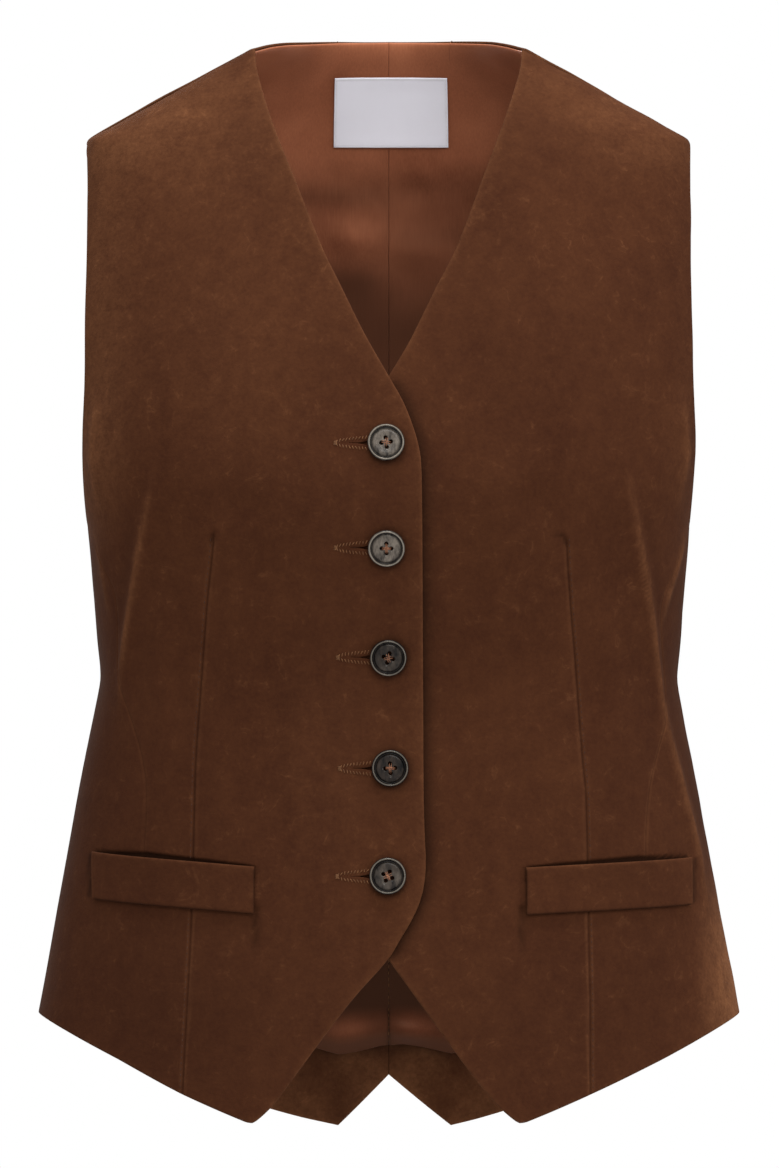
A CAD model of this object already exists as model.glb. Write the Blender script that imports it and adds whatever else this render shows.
# %% [markdown]
# A suede waistcoat, buttoned up and filled out as it hangs on somebody who isn't there.
# Two fronts, a back in two halves with a satin lining and a suede hem facing, two pocket
# welts and a blank label are each built as a thin shell of cloth on one shared body form,
# and a row of horn buttons is turned and laid on top. The CAD solids give the sizes, and
# each piece here takes the place of its solid. Everything is worked out in millimetres and
# stored in metres.

# %% Load the frame
import bpy
import math
import numpy as np
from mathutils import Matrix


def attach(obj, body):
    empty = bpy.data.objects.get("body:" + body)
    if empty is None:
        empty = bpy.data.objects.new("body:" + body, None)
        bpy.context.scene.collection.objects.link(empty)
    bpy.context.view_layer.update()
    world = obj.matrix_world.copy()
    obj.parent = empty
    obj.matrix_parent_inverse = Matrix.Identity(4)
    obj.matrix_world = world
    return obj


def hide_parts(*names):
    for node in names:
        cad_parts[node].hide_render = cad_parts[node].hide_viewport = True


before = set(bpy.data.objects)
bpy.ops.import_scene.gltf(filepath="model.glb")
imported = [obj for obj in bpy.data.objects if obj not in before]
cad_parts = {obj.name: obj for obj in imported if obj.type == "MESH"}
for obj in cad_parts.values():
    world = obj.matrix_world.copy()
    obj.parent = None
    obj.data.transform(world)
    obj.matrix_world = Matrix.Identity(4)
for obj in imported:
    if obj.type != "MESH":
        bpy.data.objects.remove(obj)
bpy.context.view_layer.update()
MM = 0.001

# %% [markdown]
# The body form is what a tailor's stand would be. At each height it is a rounded section:
# so wide, so deep in front and behind, and so square. A short table of sections and a
# smooth curve through each column give every height in between. q runs round the body:
# 0 is the middle of the front, 1 the side and 2 the middle of the back.

# %% The body form
# z, half width of the outline at the sides
chest_outline = [
    (-380, 154.6), (-347.6, 158.0), (-324.5, 160.6), (-302.5, 162.2), (-280.5, 163.8),
    (-258.5, 165.4), (-214.5, 166.3), (-170.5, 165.7), (-126.5, 165.4), (-82.5, 165.3),
    (-50.5, 166.2), (20, 167),
]
# z, depth in front, depth behind, squareness in front, squareness behind
sections = [
    (-620, 118, 109, 2.35, 2.3), (-531, 112, 104, 2.35, 2.3), (-470, 106, 96, 2.4, 2.3),
    (-410, 101, 86, 2.45, 2.3), (-348, 99, 79, 2.45, 2.3), (-300, 106, 84, 2.5, 2.35),
    (-245, 114, 92, 2.6, 2.4), (-200, 109, 98, 2.6, 2.45), (-150, 97, 100, 2.55, 2.45),
    (-100, 79, 97, 2.45, 2.4), (-52, 57, 89, 2.35, 2.35), (-20, 36, 79, 2.25, 2.25),
    (0, 20, 70, 2.2, 2.2), (14, 12, 65, 2.2, 2.15),
]
WAIST = -347.6
WAIST_HALF = 158.5
HIP_FLARE = 0.189
SHOULDER_WIDE = 77.4
SHOULDER_SLOPE = 1.789
UNDERARM = -262.0
SHOULDER_TIP = -50.5
ARMHOLE_FRONT = 46.0
ARMHOLE_BACK = 44.0
ARMHOLE_EGG = 0.35
CRISP_BESIDE_SIDE = (0.06, 0.34)  # in q from the side: crisp within the first, soft past the second
WAIST_CORNER, SHOULDER_CORNER = (16, 1.2), (30, 2.5)  # how rounded: soft, crisp

print("sections:", len(sections), "places on the chest's outline:", len(chest_outline))

# %% [markdown]
# A table becomes a curve through its points, and the columns of the section table become
# curves over the height. The half width is blended from three lines: the chest, the skirt
# that flares below the waist, and the slope of the shoulder. A square root of squares makes
# each blend soft.

# %% Curves and sections


def curve(rows, column):
    """A smooth line through one column of a table, over its first column."""
    at = np.array([row[0] for row in rows], float)
    value = np.array([row[column] for row in rows], float)
    last = len(at) - 1
    before = np.maximum(np.arange(last + 1) - 1, 0)
    after = np.minimum(np.arange(last + 1) + 1, last)
    slope = (value[after] - value[before]) / (at[after] - at[before])

    def line(x):
        x = np.asarray(x, float)
        i = np.clip(np.searchsorted(at, x, "right") - 1, 0, last - 1)
        width = at[i + 1] - at[i]
        t = np.clip((x - at[i]) / width, 0, 1)
        inside = value[i] * (1 + 2 * t) * (1 - t) ** 2 + width * slope[i] * t * (1 - t) ** 2
        inside += value[i + 1] * t * t * (3 - 2 * t) + width * slope[i + 1] * t * t * (t - 1)
        below, above = np.minimum(x - at[0], 0), np.maximum(x - at[last], 0)
        return inside + slope[0] * below + slope[last] * above

    return line


chest_half = curve(chest_outline, 1)
front_depth, back_depth = curve(sections, 1), curve(sections, 2)
front_power, back_power = curve(sections, 3), curve(sections, 4)


def ease(low, high, x):
    """Climbs softly from 0 at low to 1 at high."""
    t = np.clip((x - low) / (high - low), 0, 1)
    return t * t * (3 - 2 * t)


def mix(a, b, t):
    return a + (b - a) * t


def armhole(angle):
    """The armhole seen from the side: 0 is its lowest point, and angles run up the front."""
    ahead = (angle > 0) & (angle < math.pi)
    reach = np.where(ahead, ARMHOLE_FRONT, ARMHOLE_BACK)
    y = -reach * np.sin(angle) * (1 + ARMHOLE_EGG * np.cos(angle))
    return y, UNDERARM + (SHOULDER_TIP - UNDERARM) * (1 - np.cos(angle)) / 2


def armhole_share(z):
    """The outline beside the armhole is its front edge, so the form is a little wider."""
    rise = (z - UNDERARM) / (SHOULDER_TIP - UNDERARM)
    inside = (rise > 0) & (rise < 1)
    angle = np.arccos(1 - 2 * np.clip(rise, 0, 1))
    reach = np.abs(armhole(angle)[0]) / front_depth(z)
    return np.where(inside, (1 - reach ** front_power(z)) ** (1 / front_power(z)), 1.0)


def half_width(q, z):
    """The corners at waist and shoulder tip are crisp at the side and soft elsewhere."""
    crisp = 1 - ease(*CRISP_BESIDE_SIDE, np.abs(1 - np.abs(q)))
    skirt = WAIST_HALF + HIP_FLARE * (WAIST - z)
    chest = chest_half(z) / armhole_share(z)
    body = (chest + skirt + np.hypot(chest - skirt, mix(*WAIST_CORNER, crisp))) / 2
    shoulder = SHOULDER_WIDE - SHOULDER_SLOPE * z
    return (body + shoulder - np.hypot(body - shoulder, mix(*SHOULDER_CORNER, crisp))) / 2


def form(q, z):
    """The point of the form at q and height z."""
    q, z = np.broadcast_arrays(np.asarray(q, float), np.asarray(z, float))
    ahead, aside = np.cos(q * math.pi / 2), np.sin(q * math.pi / 2)
    depth = np.where(ahead > 0, front_depth(z), back_depth(z))
    power = np.where(ahead > 0, front_power(z), back_power(z))
    share = (np.abs(ahead) / depth) ** power + (np.abs(aside) / half_width(q, z)) ** power
    radius = share ** (-1 / power)
    return np.stack([radius * aside, -radius * ahead, z], -1)


def outward(q, z):
    """The direction straight out of the form."""
    along = form(q + 0.004, z) - form(q - 0.004, z)
    up = form(q, z + 1) - form(q, z - 1)
    normal = np.cross(along, up)
    return normal / np.linalg.norm(normal, axis=-1, keepdims=True)


for name, z in [("chest", -230), ("waist", WAIST), ("hem", -530)]:
    ring = form(np.linspace(0, 4, 400), z)
    girth = np.linalg.norm(np.diff(ring, axis=0), axis=1).sum()
    print(f"{name}: {girth / 10:.0f} cm round")

# %% [markdown]
# A place on cloth is easier to measure from the middle, or by its depth, than by q. The
# finder functions turn such a measure into q. On the front the width depends on q in turn,
# so the answer is worked out in a few rounds.

# %% Places on the form
MID_FRONT, MID_BACK, BACK_MIDDLE = 0.5, 1.6, 2.0  # q


def q_of_x(x, z):
    """q of the point of the front that lies x from the middle."""
    q = x / half_width(MID_FRONT, z)
    for _ in range(4):
        share = np.minimum(np.abs(x) / half_width(q, z), 0.9999)
        y = front_depth(z) * (1 - share ** front_power(z)) ** (1 / front_power(z))
        q = np.arctan2(x, y) / (math.pi / 2)
    return q


def q_of_back_x(x, z):
    share = np.abs(x) / half_width(MID_BACK, z)
    y = back_depth(z) * (1 - share ** back_power(z)) ** (1 / back_power(z))
    return np.arctan2(x, -y) / (math.pi / 2)


def q_of_y(y, z):
    """q of the point at depth y beside the side seam or the shoulder ridge."""
    depth = np.where(y < 0, front_depth(z), back_depth(z))
    power = np.where(y < 0, front_power(z), back_power(z))
    x = half_width(1.0, z) * (1 - (np.abs(y) / depth) ** power) ** (1 / power)
    return np.arctan2(x, -y) / (math.pi / 2)


print("q at 100 mm from the middle of the waist:", round(float(q_of_x(np.float64(100), WAIST)), 3))

# %% [markdown]
# Cloth is cut along lines: front edge, darts, side seams, armholes, hems. Each line is a
# short table of places, measured on the front or the back. A row number from 0 at the hem
# to 32 at the top says how high up a line we are, so that all lines of a panel climb
# together.

# %% Tables of seams and edges
ROWS = 32
UNDERARM_ROW = 17
SIDE_SEAM = 6.0  # behind the widest line
SHOULDER_SEAM = -6.0  # in front of the shoulder ridge
NECK_BACK = 9.0
NECK_END = 0.3
HEM_SIDE = -529.6
RIGHT, LEFT = -1, 1  # the wearer's right is at -X
SIDE_NAME = {RIGHT: "right", LEFT: "left"}
SIDE_COLUMN = {RIGHT: 1, LEFT: 2}  # in the tables that give both fronts
BACK_POINT = {RIGHT: 28.6, LEFT: 35.1}

# z, distance from the middle on the right front, and on the left front
front_edge = [
    (-583.9, 73.3, 70.4), (-574.6, 63.3, 59.7), (-562, 53.6, 48.8), (-540, 37.3, 32.4),
    (-516, 18.8, 15), (-495, 0.2, -0.2), (-484.5, -6.3, -7.2), (-474, -12.5, -11.5),
    (-463, -17.3, -15.5), (-452, -19.5, -17.7), (-441, -20, -19.2), (-431, -19.5, -19.6),
    (-409, -18.9, -19.7), (-356, -18.6, -19.9), (-302, -18.3, -19.8), (-248.7, -17.9, -19.5),
    (-227, -17.3, -17.8), (-216.5, -15.4, -16.2), (-205.8, -12, -13.6), (-195, -7.6, -9.8),
    (-184.3, -1.6, -2), (-164.6, 9.7, 9.9), (-151.6, 16.6, 16.4), (-132, 26.1, 25.9),
    (-112.3, 35.6, 36.1), (-72.5, 51.4, 51.2), (-38.8, 64.4, 63.6), (-11.3, 72.3, 72),
    (0.3, 73.7, 73.7),
]
front_dart = [
    (-567, 111, 108.8), (-520, 108.6, 108.7), (-473, 106.6, 107.9), (-410, 105, 106.4),
    (-387, 104, 104.3), (-341, 100.8, 101), (-302, 97.9, 97.8), (-268, 94.6, 95.8),
    (-200, 95, 95), (-100, 104, 104), (-20, 113, 113),
]
underarm_dart = [
    (-550, 146, 148), (-500, 137, 142), (-440, 132.6, 138.7), (-406, 131, 141.2),
    (-386, 133.6, 145.8), (-372, 137.6, 148.6), (-350, 144.6, 149.4), (-325, 146.8, 148),
    (-309, 147.8, 147.6), (-297, 149.6, 150.6), (-284, 155.6, 156.8), (-272, 160, 160.4),
    (-250, 162, 162), (-170, 161, 161), (-100, 160, 160), (-44, 154, 154),
]
# z, q
blade_line = [
    (-581, 1.52), (-450, 1.44), (-348, 1.41), (-245, 1.465), (-150, 1.495), (-80, 1.46),
    (-40, 1.36), (-15, 1.15), (0.3, 0.95),
]
# q, z
neck_edge = [(0.95, NECK_END), (1.08, 2.4), (1.2, 5), (1.34, 6.9), (1.6, 8.4), (2, NECK_BACK)]
# distance from the middle, z
front_hem = [(70, -585), (90, -576.9), (113, -567), (146, -551.3), (179, -535.2), (194, -527.8)]
back_hem = [
    (32, -598.2), (50, -593.8), (70, -587.8), (92, -580.5), (120, -568.6), (146, -555.2),
    (179, -536.5), (194, -527.8),
]
# row, then the height of each guide line there: front edge, dart, underarm dart, side
front_rows = [
    (0, -583.9, -568.2, -550.4, HEM_SIDE), (5, -495, -492, -484, -472),
    (9, -446, -438, -430, -420), (13, -372, -366, -358, WAIST),
    (17, -290, -286, -278, UNDERARM), (24, -185, -178, -174, None),
    (29, -34, -52, -72, None), (32, NECK_END, -20.2, -44, None),
]
# row, then middle, point of the hem, shoulder blade, side
back_rows = [
    (0, -569.6, -598.2, -580.5, HEM_SIDE), (5, -495, -502, -494, -472),
    (9, -446, -449, -440, -420), (13, -372, -373, -368, WAIST),
    (17, -290, -290, -286, UNDERARM), (24, -178, -178, -178, None),
    (29, -44, -44, -50, None), (32, NECK_BACK, NECK_BACK, NECK_END, None),
]
lining_hem = (-552.6, -556.5, -546.0, -508.0)

print("heights with a row of their own:", len(front_rows), "in front,", len(back_rows), "behind")

# %% [markdown]
# A guide is a function that gives q and z of its line at any row. The guides at the front
# edge and the darts read their tables. The outer one runs up the side seam and then round
# the armhole, an egg-shaped ring, as far as the shoulder seam.

# %% Guide lines


def heights_of(rows, column, hem=None):
    """Height of a guide line at any row, with a hem of its own where it has one."""
    stated = [(row[0], row[column]) for row in rows if row[column] is not None]
    at, height = zip(*stated)
    height = list(height) if hem is None else [hem, *height[1:]]
    return lambda row: np.interp(row, at, height)


def guide_of_x(line, side, column):
    x_of, z_of = curve(line, SIDE_COLUMN[side]), heights_of(front_rows, column)
    return lambda row: (q_of_x(x_of(z_of(row)), z_of(row)), z_of(row))


def outer_guide(facing, hem=None):
    """Side seam, then armhole. facing is 1 for a front and -1 for a back."""
    start = -math.asin(SIDE_SEAM / (ARMHOLE_BACK * (1 + ARMHOLE_EGG)))
    reach = ARMHOLE_FRONT if facing > 0 else ARMHOLE_BACK
    over = math.asin(-SHOULDER_SEAM / (reach * (1 - ARMHOLE_EGG)))
    end = math.pi - over if facing > 0 else -math.pi - over
    z_of = heights_of(front_rows, 4, hem)

    def line(row):
        seam_z = z_of(row)
        turn = np.clip((row - UNDERARM_ROW) / (ROWS - UNDERARM_ROW), 0, 1)
        y, z = armhole(mix(start, end, turn))
        low = row < UNDERARM_ROW
        z = np.where(low, seam_z, z)
        return q_of_y(np.where(low, SIDE_SEAM, y), z), z

    return line


armhole_end = outer_guide(1)(np.array([float(ROWS)]))[1][0]
print("the front's armhole ends", round(-float(armhole_end)), "mm below the neck")

# %% [markdown]
# A panel is a grid of points between its guide lines. The grid is fine, about 2 mm on the
# fronts and 2.6 mm on the back, so that folds and seams show, and finer still beside a seam
# or an edge, where the cloth is rolled. Its four border lines are exactly the seams and
# edges, so panels meet without gaps, as sewn cloth does.

# %% Grids of panels
CELL = 2.6
EDGE_STEPS = (0.15, 0.5, 1.0, 2.0)  # mm from a rolled edge


def spread(count, start_width, end_width):
    """Places from 0 to 1, close together near both ends."""
    near = np.array([0, *EDGE_STEPS])
    low, high = near / start_width, 1 - near[::-1] / end_width
    return np.concatenate([low, np.linspace(low[-1], high[0], count)[1:-1], high])


def blend_strip(left, right, lower, upper, u, v):
    """A patch between two guide lines (by row) and two edges (by column)."""
    strip = []
    for k in (0, 1):
        sides = mix(left[k][:, None], right[k][:, None], u)
        ends = mix(lower[k][None, :], upper[k][None, :], v[:, None])
        low = mix(left[k][0], right[k][0], u)
        high = mix(left[k][-1], right[k][-1], u)
        strip.append(sides + ends - mix(low[None, :], high[None, :], v[:, None]))
    return strip


def straight_edge(start, end, u):
    return mix(start[0], end[0], u), mix(start[1], end[1], u)


def shoulder_edge(start, end, u):
    z = mix(start[1], end[1], u)
    return q_of_y(np.full_like(z, SHOULDER_SEAM), z), z


def hem_edge(hem):
    """Follows the hem's table, shifted a little so that it meets both guide lines."""
    height = curve(hem, 1)

    def edge(start, end, u):
        q, z = straight_edge(start, end, u)
        along = height(form(q, z)[:, 0])
        return q, along + mix(z[0] - along[0], z[-1] - along[-1], u)

    return edge


def neck_curve(start, end, u):
    q, z = straight_edge(start, end, u)
    return q, np.where((u > 0) & (u < 1), curve(neck_edge, 1)(q), z)


def panel_grid(guides, widths, edges, rows, cell):
    """q and z of every point of a panel, and the column of each guide line."""
    v = rows / ROWS
    lines = [guide(rows) for guide in guides]
    parts, seams = [], [0]
    for s, width in enumerate(widths):
        u = spread(max(int(width / cell[s]), 4), width, width)
        ends = [[(line[0][i], line[1][i]) for line in lines[s:s + 2]] for i in (0, -1)]
        lower, upper = edges[s][0](*ends[0], u), edges[s][1](*ends[1], u)
        strip = blend_strip(lines[s], lines[s + 1], lower, upper, u, v)
        parts.append([k[:, (1 if s else 0):] for k in strip])
        seams.append(seams[-1] + len(u) - 1)
    q = np.concatenate([part[0] for part in parts], 1)
    return q, np.concatenate([part[1] for part in parts], 1), seams


print("grid cell:", CELL, "mm, places across 100 mm:", len(spread(int(100 / CELL), 100, 100)))

# %% [markdown]
# The fronts have three strips, between front edge, dart, underarm dart and side. The back
# has three as well, between its middle, the point of its hem, the shoulder blade and the
# side. The lining uses the grid of the back, with a hem of its own higher up.

# %% Grids of the fronts and the back
ROW_HEIGHT, TOP_SQUEEZE, PANEL_HEIGHT = 18.5, 1.6, 600
POCKET_ROWS = (8.0, 9.7, 0.055)  # first, last, step
# how wide each strip is, and how fine its cells are beside CELL
FRONT_STRIPS, FRONT_FINENESS, FRONT_ROW_FINENESS = (100, 45, 40), (0.75, 0.5, 0.5), 0.85
BACK_STRIPS = (32, 62, 100)


def row_places(cell, fine=None):
    """Row numbers of a panel, about one cell apart, and closer at hem, top and pocket."""
    near = np.array([0, *EDGE_STEPS]) / ROW_HEIGHT
    low, high = near, ROWS - near[::-1] * TOP_SQUEEZE
    rows = np.concatenate([low, np.linspace(low[-1], high[0], int(PANEL_HEIGHT / cell))[1:-1], high])
    if fine:
        start, stop, step = fine
        rows = np.concatenate([rows[rows < start], np.arange(start, stop, step), rows[rows > stop]])
    return rows


def front_grid(side):
    """q and z of every point of a front, and the columns of its guide lines."""
    rows = row_places(CELL * FRONT_ROW_FINENESS, POCKET_ROWS)
    lines = [front_edge, front_dart, underarm_dart]
    guides = [guide_of_x(line, side, i + 1) for i, line in enumerate(lines)] + [outer_guide(1)]

    def ended(guide):
        def line(row):
            q, z = guide(row)
            top = row >= ROWS
            return np.where(top, q_of_y(np.full_like(z, SHOULDER_SEAM), z), q), z

        return line

    edges = [(hem_edge(front_hem), shoulder_edge)] * 3
    cells = [CELL * fineness for fineness in FRONT_FINENESS]
    return panel_grid([ended(guide) for guide in guides], FRONT_STRIPS, edges, rows, cells)


def back_grid(side, hems=(None,) * 4):
    """q and z of every point of a back half, or of the lining where hems are given."""
    rows = row_places(CELL)
    z_of = [heights_of(back_rows, i + 1, hems[i]) for i in range(3)]
    blade_q = curve(blade_line, 1)
    neck_q = float(q_of_y(np.float64(SHOULDER_SEAM), np.float64(NECK_END)))
    guides = [
        lambda row: (np.full_like(row, BACK_MIDDLE), z_of[0](row)),
        lambda row: (q_of_back_x(BACK_POINT[side], z_of[1](row)), z_of[1](row)),
        lambda row: (np.where(row < ROWS, blade_q(z_of[2](row)), neck_q), z_of[2](row)),
        outer_guide(-1, hems[3]),
    ]
    low = straight_edge if hems[0] else hem_edge(back_hem)
    edges = [(straight_edge, neck_curve), (low, neck_curve), (low, shoulder_edge)]
    return panel_grid(guides, BACK_STRIPS, edges, rows, (CELL,) * 3)[:2]


print("front grid:", front_grid(RIGHT)[0].shape, "back grid:", back_grid(LEFT)[0].shape)

# %% [markdown]
# Folds make cloth look like cloth. Each row of a table is one soft ridge or trough, drawn
# as a line through a few places on its side of the body, seen from the front or from
# behind. It has a half width, a height and a crispness, and it fades at both ends. Where a
# ridge is crisp its crest is also rubbed a little lighter. The creases are short and sharp.

# %% Tables of folds
# side, half width, height, crispness, places as x and z
front_folds = [
    (RIGHT, 8, 3.4, 0.85, [(126, -228), (133.5, -273), (139.5, -308), (144, -340), (147, -372)]),
    (RIGHT, 7, 2.2, 0.35, [(158, -186), (160, -222), (157, -256)]),
    (RIGHT, 3, 0.7, 0.4, [(160, -262), (156, -290), (151, -318)]),
    (RIGHT, 12, -1.3, 0, [(96, -258), (80, -252), (62, -250)]),
    (RIGHT, 9, 1.2, 0, [(118, -300), (122, -350), (119, -410)]),
    (RIGHT, 10, 1.0, 0, [(40, -300), (47, -360), (44, -430)]),
    (LEFT, 8, 3.5, 0.85, [(126.5, -222), (133.5, -264), (141, -309), (146, -348), (151, -390)]),
    (LEFT, 7, 3.0, 0.9, [(145, -344), (152, -378), (160.5, -412), (168, -440), (175, -478)]),
    (LEFT, 7, 2.2, 0.4, [(159, -186), (161, -222), (157, -256)]),
    (LEFT, 3, 1.0, 0.8, [(163, -262), (157, -286), (150, -308), (147, -322)]),
    (LEFT, 12, -1.3, 0, [(96, -258), (80, -252), (62, -250)]),
    (LEFT, 9, 1.2, 0, [(116, -300), (120, -350), (118, -410)]),
    (LEFT, 11, 1.0, 0, [(44, -290), (50, -370), (60, -440)]),
    (LEFT, 4, 0.9, 0.3, [(168, -500), (172, -523)]),
    (LEFT, 4, 0.8, 0.3, [(179, -497), (182, -520)]),
]
# side, half width, depth, places: short, sharp creases at the darts' ends and under the welts
creases = [
    (RIGHT, 1.2, 0.9, [(95.4, -272), (95, -268), (92.4, -265)]),
    (LEFT, 1.2, 0.9, [(95.7, -272), (94, -267.8), (86.5, -266.2)]),
    (RIGHT, 1.9, 1.4, [(72.2, -468), (71.7, -480), (72.5, -496)]),
    (LEFT, 1.9, 1.4, [(72, -468), (71.5, -480), (72.5, -497)]),
]
back_folds = [
    (RIGHT, 8, 4.4, 0.8, [(124, -232), (134, -290), (140, -346), (146, -400)]),
    (LEFT, 8, 4.6, 0.8, [(127, -244), (137, -300), (144, -350), (149, -392)]),
    (RIGHT, 10, -3.8, 0, [(48, -296), (84, -328), (118, -350)]),
    (LEFT, 10, -3.8, 0, [(40, -308), (78, -334), (112, -350)]),
    (LEFT, 8, 3.4, 0.5, [(20, -326), (60, -358), (98, -374)]),
    (RIGHT, 8, 3.2, 0.5, [(24, -334), (58, -362), (92, -384)]),
    (RIGHT, 11, 3.2, 0.3, [(88, -108), (118, -160), (140, -214)]),
    (LEFT, 11, 3.0, 0.3, [(92, -98), (122, -150), (142, -200)]),
    (RIGHT, 11, 2.6, 0.2, [(58, -430), (66, -500), (64, -560)]),
    (LEFT, 11, 2.5, 0.2, [(70, -436), (76, -500), (80, -550)]),
]
# The lining is looked at from inside, so its ridges have a negative height.
lining_folds = [
    (RIGHT, 10, -2.9, 0.1, [(-9, -103), (20, -100), (46, -93)]),
    (RIGHT, 7, 1.8, 0, [(-6, -73), (18, -69), (42, -63)]),
    (RIGHT, 3, -1.0, 0.1, [(14, -60), (24, -69), (30, -82)]),
    (RIGHT, 2.5, -0.8, 0.1, [(2, -56), (6, -67), (4, -79)]),
    (LEFT, 10, -2.7, 0.1, [(-9, -103), (18, -106), (40, -112)]),
    (LEFT, 7, 1.6, 0, [(-6, -73), (16, -71), (38, -76)]),
    (LEFT, 3, -1.0, 0.1, [(16, -58), (24, -68), (27, -80)]),
    (LEFT, 2.5, -0.8, 0.1, [(6, -56), (10, -66), (8, -77)]),
]

print("folds:", len(front_folds), "in front,", len(back_folds), "behind,", len(lining_folds), "inside")

# %% [markdown]
# A fold is drawn by distance: every point of the cloth finds how far it lies from the line
# of the ridge, and a bell curve of that distance is its height. A few long, low waves lie
# over everything, so that no part is perfectly smooth. Their directions are drawn by chance
# from a fixed seed, so the cloth comes out the same each time.

# %% How folds are drawn
CREST_WIDTH = 1.5  # of the rubbed line on a crisp ridge
WAVE_LENGTHS = (150, 110, 83, 61, 47, 34, 22)
WAVE_HEIGHT = 0.24  # of a wave that is 110 mm long


def along_line(places, x, z):
    """Distance from a drawn line, positive on its outer side, and the share of it passed."""
    places = np.array(places, float)
    steps = np.linalg.norm(np.diff(places, axis=0), axis=1)
    starts = np.concatenate([[0], np.cumsum(steps)])
    best, share, outer = np.full(x.shape, 1e9), np.zeros(x.shape), np.ones(x.shape)
    for place, (dx, dz), start, step in zip(places, np.diff(places, axis=0), starts, steps):
        from_x, from_z = x - place[0], z - place[1]
        t = np.clip((from_x * dx + from_z * dz) / step**2, 0, 1)
        away = np.hypot(from_x - t * dx, from_z - t * dz)
        share = np.where(away < best, (start + t * step) / starts[-1], share)
        outer = np.where(away < best, from_z * dx - from_x * dz, outer)
        best = np.minimum(best, away)
    return np.copysign(best, outer), share


def fold_relief(table, side, x, z):
    """Height of all folds, and where the crisp ones are rubbed light or lie in shade."""
    height, crest, valley = np.zeros_like(x), np.zeros_like(x), np.zeros_like(x)
    for fold_side, width, high, crisp, places in table:
        if fold_side != side:
            continue
        away, share = along_line(places, x, z)
        taper = ease(-0.04, 0.4, share) * (1 - ease(0.6, 1.04, share))
        round_top = np.exp(-((away / width) ** 2))
        sharp_top = 1 / (1 + (away / (0.32 * width)) ** 2) * np.exp(-((away / (2 * width)) ** 2))
        height += high * taper * mix(round_top, sharp_top, crisp)
        crest += crisp * taper * np.exp(-((away / CREST_WIDTH) ** 2))
        valley += crisp * taper * np.exp(-(((away - 0.8 * width) / (0.5 * width)) ** 2))
    return height, crest, valley


def crease_lines(side, x, z):
    """How deep the short creases are, and how dark."""
    deep, dark = np.zeros_like(x), np.zeros_like(x)
    for crease_side, width, depth, places in creases:
        if crease_side == side:
            away, share = along_line(places, x, z)
            line = np.exp(-((away / width) ** 2)) * (1 - ease(0.5, 1.02, share))
            deep, dark = deep + depth * line, np.maximum(dark, line)
    return deep, dark


def unevenness(x, z, seed):
    """Long, low waves in a few directions."""
    chance = np.random.default_rng(seed)
    height = np.zeros_like(x)
    for length in WAVE_LENGTHS:
        angle, phase = chance.uniform(-0.9, 0.9), chance.uniform(0, 2 * math.pi)
        run = x * math.cos(angle) + z * math.sin(angle)
        height += length / 110 * WAVE_HEIGHT * np.sin(2 * math.pi * run / length + phase)
    return height


print("highest wave on 300 mm:", round(float(unevenness(np.arange(300.0), 0, 1).max()), 2), "mm")

# %% [markdown]
# A shell is an outer face, an inner face and a rolled edge between them. Both faces start
# from the same grid, one wall apart. Near a border they close in on each other along a
# quarter circle, which is how turned and stitched cloth ends. Marks are kept on the
# points, such as how close they are to a seam or an edge, so that the material can darken
# the one and brush up the other.

# %% Shells
FRONT_WALL, BACK_WALL, LINING_WALL, FACING_WALL = 2.0, 1.5, 1.0, 1.0
GAP = 0.3
TURN_IN = 12.0  # the outer cloth is seen this far inside each border


def lengths(points, axis):
    """Distance along the grid from its first line to each point."""
    step = np.linalg.norm(np.diff(points, axis=axis), axis=-1)
    zero = np.zeros_like(np.take(step, [0], axis=axis))
    return np.concatenate([zero, np.cumsum(step, axis=axis)], axis=axis)


def border_distances(points):
    """From each point to the first column, the last column, the first row and the last row."""
    across, up = lengths(points, 1), lengths(points, 0)
    return across, across[:, -1:] - across, up, up[-1:] - up


def set_marks(mesh, marks):
    for key, value in marks.items():
        mesh.attributes.new(key, "FLOAT", "POINT").data.foreach_set("value", value.ravel())


def mesh_object(name, points, faces, materials, slots=None, marks=None):
    mesh = bpy.data.meshes.new(name)
    corners = faces.tolist() if isinstance(faces, np.ndarray) else faces
    mesh.from_pydata((np.asarray(points) * MM).tolist(), [], corners)
    for material in materials:
        mesh.materials.append(material)
    if slots is not None:
        mesh.polygons.foreach_set("material_index", slots.astype(np.int32))
    set_marks(mesh, marks or {})
    mesh.polygons.foreach_set("use_smooth", np.ones(len(faces), bool))
    mesh.update()
    piece = bpy.data.objects.new(name, mesh)
    bpy.context.scene.collection.objects.link(piece)
    return piece


def shell(name, outer, inner, flip, materials, marks, roll=None):
    """A closed shell from two grids of points, with its four borders rolled."""
    middle, half = (outer + inner) / 2, (outer - inner) / 2
    wall = np.linalg.norm(outer - inner, axis=-1).max()
    radius = roll or wall / 2
    near = np.minimum.reduce(border_distances(middle))
    open_up = np.sqrt(1 - (1 - np.clip(near / radius, 0, 1)) ** 2)[..., None]
    outer, inner = middle + half * open_up, middle - half * open_up
    high, wide = near.shape
    index = np.arange(high * wide).reshape(high, wide)
    inside = index.copy()
    core = (slice(1, -1), slice(1, -1))
    inside[core] = high * wide + np.arange((high - 2) * (wide - 2)).reshape(high - 2, wide - 2)

    def quads(grid, turned):
        corners = [grid[:-1, :-1], grid[:-1, 1:], grid[1:, 1:], grid[1:, :-1]]
        order = corners[::-1] if turned else corners
        return np.stack([corner.ravel() for corner in order], 1)

    faces = np.concatenate([quads(index, flip), quads(inside, not flip)])
    points = np.concatenate([outer.reshape(-1, 3), inner[core].reshape(-1, 3)])
    turned_in = near[:-1, :-1] < TURN_IN
    slots = np.concatenate([np.zeros(turned_in.size), np.where(turned_in.ravel(), 0, 1)])
    marks = {key: np.concatenate([value.ravel(), value[core].ravel()]) for key, value in marks.items()}
    return mesh_object(name, points, faces, materials, slots, marks)


def finish(piece, node):
    """Hands a piece over: it rides on the body and stands for its CAD node."""
    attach(piece, "root")
    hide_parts(node)


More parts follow.
